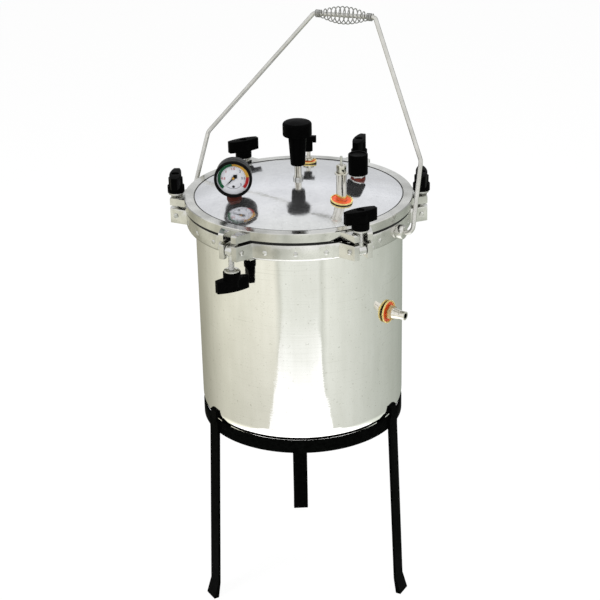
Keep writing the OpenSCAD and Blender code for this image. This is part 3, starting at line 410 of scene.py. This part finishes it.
def castFinish(look):
    f = Finish("machinedCasting")
    tone = f.noise(34.0, 4.0)
    pits = f.noise(420.0, 3.0)
    mixed = f.spread(f.noise(11.0, 3.0), 0.0, 0.6) + f.spread(tone, 0.0, 0.4)
    colour = f.mark(f.blend(mixed, look["low"], look["high"]), pits, *look["pits"])
    x, y, z = f.xyz()
    # painted shade: the colour darkens over the lowest few millimetres of the body ring
    paintedDark = f.spread(z, look["paintedDark"], 0.0, *[ringLow + rise for rise in look["shadeSpan"]])
    colour = f.blend(paintedDark, colour, look["shadeInk"])
    rough = f.spread(tone, *look["rough"]) + f.spread(f.noise(4.0, 2.0, (1, 1, 90)), *look["sweepRough"])
    return f.surface(color=colour, metal=1.0, rough=rough.clip(*look["roughClip"]),
                     normal=f.bump(pits, *look["pitBump"], f.bump(tone, *look["body"])))


def metalFinish(name, low, high, rough, scale=160.0, bump=0.04):
    f = Finish(name)
    tone = f.noise(scale, 3.0)
    return f.surface(color=f.vary(tone, low, high), metal=1.0, rough=f.spread(tone, *rough),
                     normal=f.bump(f.noise(scale, 2.0), bump, 0.0003))


# a moulding's roughness runs from a little under its value to a little over
def mouldedFinish(name, low, high, rough, scale=300.0, bump=0.12, specular=0.5):
    f = Finish(name)
    sheen = f.spread(f.noise(scale / 6, 3.0), rough - 0.07, rough + 0.09)
    return f.surface(color=f.vary(f.noise(scale, 3.0), low, high), rough=sheen, specular=specular,
                     normal=f.bump(f.noise(scale * 2.5, 2.0), bump, 0.0003))


# worn plating with dark streaks that run down it, which are painted reflections
def platedFinish(name, low, high, paintedDark, rough):
    f = Finish(name)
    tone = f.noise(130.0, 3.0)
    reflectionStreaks = f.noise(260.0, 3.0, (1, 1, 0.06))
    # painted reflection: dark vertical streaks laid over the plating's colour
    colour = f.mark(f.vary(tone, low, high), reflectionStreaks, 0.85, (0.50, 0.62), paintedDark)
    return f.surface(color=colour, metal=1.0, rough=f.spread(tone, *rough))


# a bolt's thread starts above its eye, whichever way the bolt points
thread = {"pitch": 1.25 * mm, "start": 12 * mm, "bump": (0.6, 0.0004), "rough": (0.18, 0.30),
          "low": (0.60, 0.60, 0.58), "high": (0.76, 0.76, 0.74)}


def threadFinish(look):
    f = Finish("threadedSteel")
    x, y, z = f.xyz()
    along = abs(z - pinHeight)
    tone = f.noise(160.0, 3.0)
    turns = (along * (math.tau / look["pitch"])).sine() * (along > look["start"])
    return f.surface(color=f.vary(tone, look["low"], look["high"]), metal=1.0,
                     rough=f.spread(tone, *look["rough"]), normal=f.bump(turns, *look["bump"]))


# a washer is yellow on its rim and orange-red in its dish
washerLook = {
    "rim": 2.0 * mm, "dish": ((0.72, 0.055, 0.008), (0.86, 0.13, 0.012)),
    "edge": ((0.74, 0.56, 0.16), (0.88, 0.74, 0.30)), "rough": (0.28, 0.42), "bump": (0.08, 0.0003),
}


# upright washers are measured across only, and the drain's washer, which stands on edge, all round
def washerFinish(name, look, *washers):
    f = Finish(name)
    inside = None
    for centre, radius, allRound in washers:
        x, y, z = f.xyz(centre)
        near = (x * x + y * y + z * z * allRound).sqrt() < radius - look["rim"]
        inside = near if inside is None else (inside + near).clip()
    tone = f.noise(220.0, 3.0)
    colour = f.blend(inside, f.vary(tone, *look["edge"]), f.vary(tone, *look["dish"]))
    return f.surface(color=colour, rough=f.spread(tone, *look["rough"]), specular=0.45,
                     normal=f.bump(f.noise(500.0, 2.0), *look["bump"]))


# the seals are black but for the vent's, which is red
sealLook = {
    "reach": 20 * mm, "dark": ((0.006, 0.006, 0.006), (0.014, 0.014, 0.014)),
    "red": ((0.11, 0.016, 0.010), (0.19, 0.030, 0.016)), "rough": (0.45, 0.6), "bump": (0.15, 0.0003),
}


def sealFinish(look):
    f = Finish("ventAndValveSeals")
    x, y, z = f.xyz(middle("vent_stem"))
    isVent = (x * x + y * y).sqrt() < look["reach"]
    tone = f.noise(300.0, 3.0)
    colour = f.blend(isVent, f.vary(tone, *look["dark"]), f.vary(tone, *look["red"]))
    return f.surface(color=colour, rough=f.spread(tone, *look["rough"]), specular=0.3,
                     normal=f.bump(f.noise(700.0, 2.0), *look["bump"]))


def windowFinish():
    f = Finish("gaugeWindow")
    smear = f.noise(60.0, 3.0)
    return f.surface(color=(0.05, 0.05, 0.05), rough=f.spread(smear, 0.02, 0.08), alpha=0.035, specular=0.5)


# the dial's print: angles run clockwise from six o'clock, so the scale spans 45 to 315 degrees
dial = {
    "paper": (0.80, 0.81, 0.86), "bandIn": 18.0 * mm, "bandOut": 22.4 * mm,
    "bands": [((46, 176), (0.000, 0.115, 0.040)), ((176, 266), (0.78, 0.42, 0.045)),
              ((266, 314), (0.52, 0.006, 0.008))],
    "tickIn": 16.8 * mm, "tickStep": 9.0, "tickShare": 1.4 * mm, "tickSpan": (44, 316),
    "tickInk": (0.10, 0.10, 0.12),
    "footIn": 15.3 * mm, "footOut": 16.0 * mm, "footEnds": (38, 322), "footInk": (0.22, 0.22, 0.25),
    "spotDown": 12.6 * mm, "spotR": 2.0 * mm, "spotInk": (0.01, 0.01, 0.012),
}


# across is to the right and rise is up along the dial's leaning face
def dialFinish(look):
    f = Finish("dialPrint")
    x, y, z = f.xyz(dialCentre)
    across, rise = x, y * math.sin(dialLean) + z * math.cos(dialLean)
    far = (across * across + rise * rise).sqrt()
    turn = (across * -1).angle(rise * -1) * (180 / math.pi)
    turn = turn + (turn < 0) * 360
    ring = within(far, look["bandIn"], look["bandOut"])
    ink = look["paper"]
    for span, colour in look["bands"]:
        ink = f.blend(ring * within(turn, *span), ink, colour)
    step = turn / look["tickStep"] + 0.5
    part = step - step.floor()
    ticks = within(far, look["tickIn"], look["bandIn"]) * (abs(part - 0.5) * far < look["tickShare"])
    ink = f.blend(ticks * within(turn, *look["tickSpan"]), ink, look["tickInk"])
    atFoot = ((turn < look["footEnds"][0]) + (turn > look["footEnds"][1])).clip()
    ink = f.blend(within(far, look["footIn"], look["footOut"]) * atFoot, ink, look["footInk"])
    down = rise + look["spotDown"]
    ink = f.blend((across * across + down * down).sqrt() < look["spotR"], ink, look["spotInk"])
    paper = f.noise(400.0, 2.0)
    return f.surface(color=ink, rough=f.spread(paper, 0.42, 0.52), specular=0.35,
                     normal=f.bump(paper, 0.03, 0.0002))


# the pointer is black round a brass pivot
pointerLook = {"pivot": 1.8 * mm, "brass": (0.72, 0.38, 0.08), "rough": (0.3, 0.4),
               "low": (0.0015, 0.0015, 0.0015), "high": (0.003, 0.003, 0.003)}


def pointerFinish(look):
    f = Finish("pointerAndPivot")
    x, y, z = f.xyz(dialCentre)
    isPivot = (x * x + z * z).sqrt() < look["pivot"]
    tone = f.noise(300.0, 3.0)
    colour = f.blend(isPivot, f.vary(tone, look["low"], look["high"]), look["brass"])
    return f.surface(color=colour, metal=isPivot, rough=f.spread(tone, *look["rough"]), specular=0.05)


# bright outside, and painted shade inside its bore
spoutLook = {"low": (0.72, 0.69, 0.61), "high": (0.92, 0.89, 0.82), "inside": (0.012, 0.012, 0.010),
             "rough": (0.12, 0.22), "boreGap": 0.1 * mm}


def spoutFinish(look):
    f = Finish("spoutPlating")
    bore = mounts["drain_bore"]
    x, y, z = f.xyz()
    off, up = x * -bore["axis"][1] + y * bore["axis"][0], z - bore["pos_m"][2]
    isInside = (off * off + up * up).sqrt() < bore["dims"]["r_mm"] * mm + look["boreGap"]
    tone = f.noise(130.0, 3.0)
    # inside the bore the colour is painted shade
    colour = f.blend(isInside, f.vary(tone, look["low"], look["high"]), look["inside"])
    return f.surface(color=colour, metal=1.0, rough=f.spread(tone, *look["rough"]))


slotFinishes = {
    "polished_aluminium": wallFinish(wallLook),
    "cast_aluminium": castFinish(castLook),
    "black_enamel": mouldedFinish("satinEnamel", (0.0012, 0.0013, 0.0012), (0.003, 0.0033, 0.003),
                                  0.40, 220.0, 0.05, 0.002),
    "bright_steel": metalFinish("brightSteel", (0.50, 0.50, 0.48), (0.72, 0.72, 0.69), (0.14, 0.24)),
    "bail_steel": metalFinish("bailSteel", (0.56, 0.555, 0.52), (0.70, 0.695, 0.66), (0.18, 0.26), 60.0, 0.0),
    "spring_steel": metalFinish("springSteel", (0.30, 0.30, 0.29), (0.46, 0.46, 0.44), (0.25, 0.4)),
    "chrome_plate": platedFinish("wornPlatingPaintedReflections", (0.66, 0.64, 0.56), (0.82, 0.80, 0.74),
                                 (0.16, 0.14, 0.09), (0.08, 0.16)),
    "brass_metal": metalFinish("turnedBrass", (0.50, 0.36, 0.18), (0.68, 0.52, 0.30), (0.2, 0.32)),
    "black_rubber": mouldedFinish("blackRubber", (0.004, 0.004, 0.004), (0.010, 0.010, 0.010),
                                  0.6, 400.0, 0.2, 0.2),
    "red_rubber": mouldedFinish("redFibre", (0.055, 0.012, 0.008), (0.10, 0.020, 0.012),
                                0.5, 300.0, 0.2, 0.1),
    "black_phenolic": mouldedFinish("blackPhenolic", (0.0008, 0.0008, 0.0008), (0.002, 0.002, 0.002),
                                    0.36, 500.0, 0.06, 0.01),
    "black_case": mouldedFinish("blackCase", (0.0015, 0.0015, 0.0015), (0.004, 0.004, 0.004),
                                0.28, 300.0, 0.05, 0.06),
    "gauge_window": windowFinish(),
    "dial_white": dialFinish(dial),
}
# the pieces that differ from their slot
lidWashers = ((middle("safety_body"), 16 * mm, 0), (middle("release_stem"), 12 * mm, 0))
nodeFinishes = {
    "gauge_pointer": pointerFinish(pointerLook),
    "drain_spout": spoutFinish(spoutLook),
    "lid_plate": lidFinish(lidLook),
    "valve_seals": sealFinish(sealLook),
    "valve_washers": washerFinish("lidWashers", washerLook, *lidWashers),
    "drain_washer": washerFinish("drainWasherPlastic", washerLook, (middle("drain_washer"), 17 * mm, 1)),
}
boltFinish = threadFinish(thread)
for i in range(1, 7):
    nodeFinishes["eye_bolt_%d" % i] = boltFinish
for name, o in nodes.items():
    o.data.materials.clear()
    o.data.materials.append(nodeFinishes[name] if name in nodeFinishes else slotFinishes[slotOf[name]])
print("finishes ready")

edges = {"segments": 2, "angle": 32, "smooth": 28, "mergeGap": 0.01 * mm, "flat": 0.5}


def select(obj):
    bpy.ops.object.select_all(action="DESELECT")
    obj.select_set(True)
    bpy.context.view_layer.objects.active = obj


# a copy of a node with its loose triangles merged, into flat faces where asked
def copyNode(name, pieceName, flatten=True):
    o = nodes[name].copy()
    o.data = nodes[name].data.copy()
    o.name = pieceName
    scene.collection.objects.link(o)
    select(o)
    bpy.ops.mesh.customdata_custom_splitnormals_clear()
    bpy.ops.object.mode_set(mode="EDIT")
    bpy.ops.mesh.select_all(action="SELECT")
    bpy.ops.mesh.remove_doubles(threshold=edges["mergeGap"])
    if flatten:
        bpy.ops.mesh.dissolve_limited(angle_limit=math.radians(edges["flat"]))
    bpy.ops.object.mode_set(mode="OBJECT")
    return o


def settle(piece, name):
    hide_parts(name)
    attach(piece, bodyOf[name])


def applyModifiers(obj):
    select(obj)
    for m in list(obj.modifiers):
        bpy.ops.object.modifier_apply(modifier=m.name)


def smoothFlats(angle=edges["smooth"]):
    bpy.ops.object.shade_smooth_by_angle(angle=math.radians(angle))


def soften(name, width, segments=edges["segments"]):
    o = copyNode(name, name + "_soft")
    edge = o.modifiers.new("edges", "BEVEL")
    edge.width = width * mm
    edge.segments = segments
    edge.limit_method = "ANGLE"
    edge.angle_limit = math.radians(edges["angle"])
    applyModifiers(o)
    smoothFlats()
    settle(o, name)
    return o


# the width of each rounded edge in millimetres
softened = {
    "stand_ring": 0.8, "stand_legs": 0.8, "body_ring": 1.0, "lid_ring": 0.9, "bail_bosses": 0.8,
    "handle_grip": 1.2, "vent_weight": 1.2, "vent_nut": 0.4, "release_knob": 1.4, "release_stem": 0.3,
    "gauge_case": 0.8, "gauge_bezel": 1.2, "gauge_nut": 0.6, "safety_body": 0.3, "safety_cap": 0.5,
    "drain_nut": 0.5, "drain_spout": 0.4,
}
for name, width in softened.items():
    soften(name, width)

# the wing knobs have wider rounds and a recess in their free end
wing = {"edge": 1.8, "segments": 3, "ferruleEdge": 0.5,
        "recessR": 5.6 * mm, "recessDeep": 1.8 * mm, "sides": 40}


def sinkEnd(knob, axis, end):
    bpy.ops.object.select_all(action="DESELECT")
    bpy.ops.mesh.primitive_cylinder_add(vertices=wing["sides"], radius=wing["recessR"],
                                        depth=2 * wing["recessDeep"], location=(axis[0], axis[1], end))
    cutter = bpy.context.object
    cut = knob.modifiers.new("recess", "BOOLEAN")
    cut.object = cutter
    cut.operation = "DIFFERENCE"
    applyModifiers(knob)
    smoothFlats()
    bpy.data.objects.remove(cutter)


for i in range(1, 7):
    knob = soften("knob_%d" % i, wing["edge"], wing["segments"])
    low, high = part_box("knob_%d" % i)
    hangs = high[2] < pinHeight
    sinkEnd(knob, joints["knob_%d_turn" % i]["pos_m"], low[2] if hangs else high[2])
    soften("ferrule_%d" % i, wing["ferruleEdge"])

# the bail's wire is round, so its copy is only smoothed
bail = {"wireSmooth": 60, "coilQuads": 60, "coilLevels": 2}
wire = copyNode("bail_wire", "bail_wire_smooth", flatten=False)
select(wire)
smoothFlats(bail["wireSmooth"])
settle(wire, "bail_wire")
print("edges softened")

# the coil on the bail, its wire made round
coil = copyNode("bail_grip", "bail_grip_round", flatten=False)
select(coil)
bpy.ops.object.mode_set(mode="EDIT")
bpy.ops.mesh.select_all(action="SELECT")
quadAngle = math.radians(bail["coilQuads"])
bpy.ops.mesh.tris_convert_to_quads(face_threshold=quadAngle, shape_threshold=quadAngle)
bpy.ops.object.mode_set(mode="OBJECT")
roundOff = coil.modifiers.new("round", "SUBSURF")
roundOff.levels = roundOff.render_levels = bail["coilLevels"]
applyModifiers(coil)
bpy.ops.object.shade_smooth()
settle(coil, "bail_grip")

# plain numbers round the dial, red on the low side and blue on the high side
numbers = {
    "size": 4.8 * mm, "thick": 0.08 * mm, "bold": 0.09 * mm, "r": 14.2 * mm,
    "Low": (("0.5", 180), ("1", 135), ("1.5", 90)), "High": (("2", 45), ("2.5", 0), ("3", -42)),
}
inks = {
    "Low": mouldedFinish("redInk", (0.40, 0.02, 0.03), (0.50, 0.04, 0.05), 0.5, 300.0, 0.02, 0.1),
    "High": mouldedFinish("blueInk", (0.02, 0.03, 0.10), (0.03, 0.05, 0.14), 0.5, 300.0, 0.02, 0.1),
}
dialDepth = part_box("gauge_dial")[0][1] - dialCentre[1]
dialFrame = Matrix.Translation(dialCentre) @ Matrix.Rotation(math.radians(90) - dialLean, 4, "X")


def number(text, angle, ink):
    bpy.ops.object.select_all(action="DESELECT")
    bpy.ops.object.text_add()
    t = bpy.context.object
    t.data.body = text
    t.data.size = numbers["size"]
    t.data.extrude = numbers["thick"]
    t.data.offset = numbers["bold"]
    t.data.align_x = t.data.align_y = "CENTER"
    bpy.ops.object.convert(target="MESH")
    turn = math.radians(angle)
    across, up = numbers["r"] * math.cos(turn), numbers["r"] * math.sin(turn)
    place = Vector((across, up, -dialDepth + numbers["thick"]))
    t.data.transform(dialFrame @ Matrix.Translation(place))
    t.data.materials.append(ink)
    return t


for part, ink in inks.items():
    made = [number(text, angle, ink) for text, angle in numbers[part]]
    bpy.ops.object.select_all(action="DESELECT")
    for t in made:
        t.select_set(True)
    bpy.context.view_layer.objects.active = made[0]
    bpy.ops.object.join()
    made[0].name = "dialNumbers" + part
    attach(made[0], bodyOf["gauge_dial"])
print("dial numbered")

for o in nodes.values():
    o.select_set(False)
